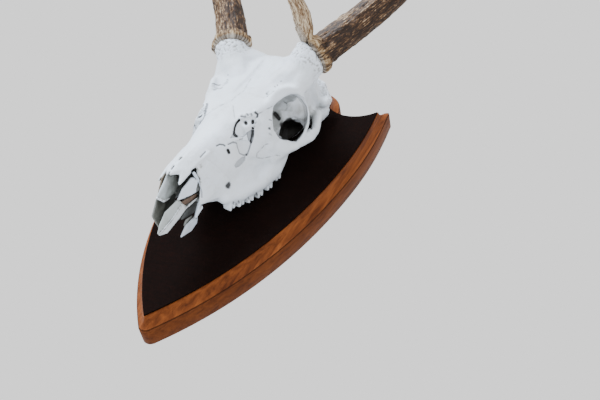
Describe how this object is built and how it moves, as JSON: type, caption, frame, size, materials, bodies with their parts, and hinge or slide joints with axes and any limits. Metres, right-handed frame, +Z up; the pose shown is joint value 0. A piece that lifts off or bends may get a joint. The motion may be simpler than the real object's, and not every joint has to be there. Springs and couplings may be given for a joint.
{
  "type": "deer skull mount",
  "caption": "A buck's skull with its antlers on a shield-shaped hardwood wall board with a dark felt field, hung flat on a wall as a trophy.",
  "frame": {"origin": "hanging point on the centre line of the board's flat back, 40 mm above the line where the felt field is widest", "axes": "+X to the viewer's right, which is the skull's left; -Y out of the wall, the way the face of the board looks; +Z up the wall"},
  "size_m": [0.4099, 0.3899, 0.4513],
  "materials": {
    "hardwood": "satin, reddish brown, long grain",
    "felt": "matt dark felt",
    "bone": null,
    "antler_left": null,
    "antler_right": null
  },
  "bodies": {
    "root": {"shield_plaque": "hardwood", "felt_field": "felt", "skull": "bone", "antler_left": "antler_left", "antler_right": "antler_right"}
  },
  "joints": []
}
